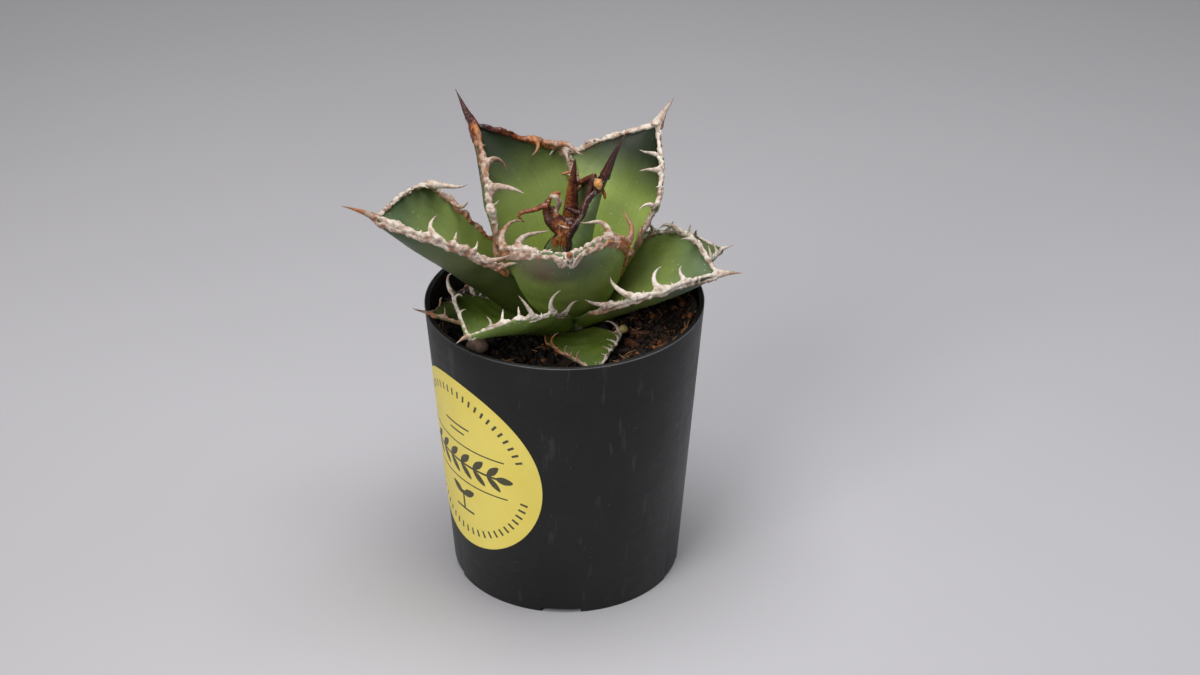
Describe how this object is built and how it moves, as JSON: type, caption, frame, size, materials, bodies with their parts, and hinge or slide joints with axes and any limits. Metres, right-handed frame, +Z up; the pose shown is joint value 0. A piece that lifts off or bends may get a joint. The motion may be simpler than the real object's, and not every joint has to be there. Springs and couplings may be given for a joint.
{
  "type": "potted agave",
  "caption": "Agave rosette of broad, hollowed, thick leaves with long end spines and horny toothed margins, in a tall tapered round nursery pot with a round side label.",
  "frame": {"origin": "centre of the middle pad under the pot, where the pot's axis meets the surface it stands on", "axes": "+Z up along the pot's axis; -Y towards the side that shows the front leaf; the label is on the side towards -X and -Y"},
  "size_m": [0.1459, 0.1188, 0.1873],
  "materials": {
    "pot_plastic": "satin near-black moulded plastic",
    "label_film": "yellow printed film, satin",
    "soil": "damp granular bark and grit",
    "stem": "pale green fleshy stem",
    "old_leaf": "waxy yellow-green leaf with chalky white teeth",
    "leaf": "waxy mid-green leaf with chalky grey horny margin",
    "young_leaf": "blue-green young leaf with red-brown spine and margin",
    "pellet": "pale yellow matt pellet",
    "pebble": "rough pinkish-brown stone"
  },
  "bodies": {
    "root": {"pot": "pot_plastic", "label": "label_film", "soil": "soil", "stem": "stem", "leaf_left_low": "old_leaf", "leaf_back_right_low": "old_leaf", "leaf_front_low": "old_leaf", "leaf_back_left_low": "old_leaf", "leaf_right_rear": "old_leaf", "leaf_front_left": "leaf", "leaf_back": "leaf", "leaf_right": "leaf", "leaf_left": "leaf", "leaf_back_right": "leaf", "leaf_front": "leaf", "leaf_back_left": "leaf", "leaf_inner_right": "young_leaf", "leaf_inner_front": "young_leaf", "leaf_bud": "young_leaf", "fertiliser_pellet": "pellet", "pebble": "pebble"}
  },
  "joints": []
}
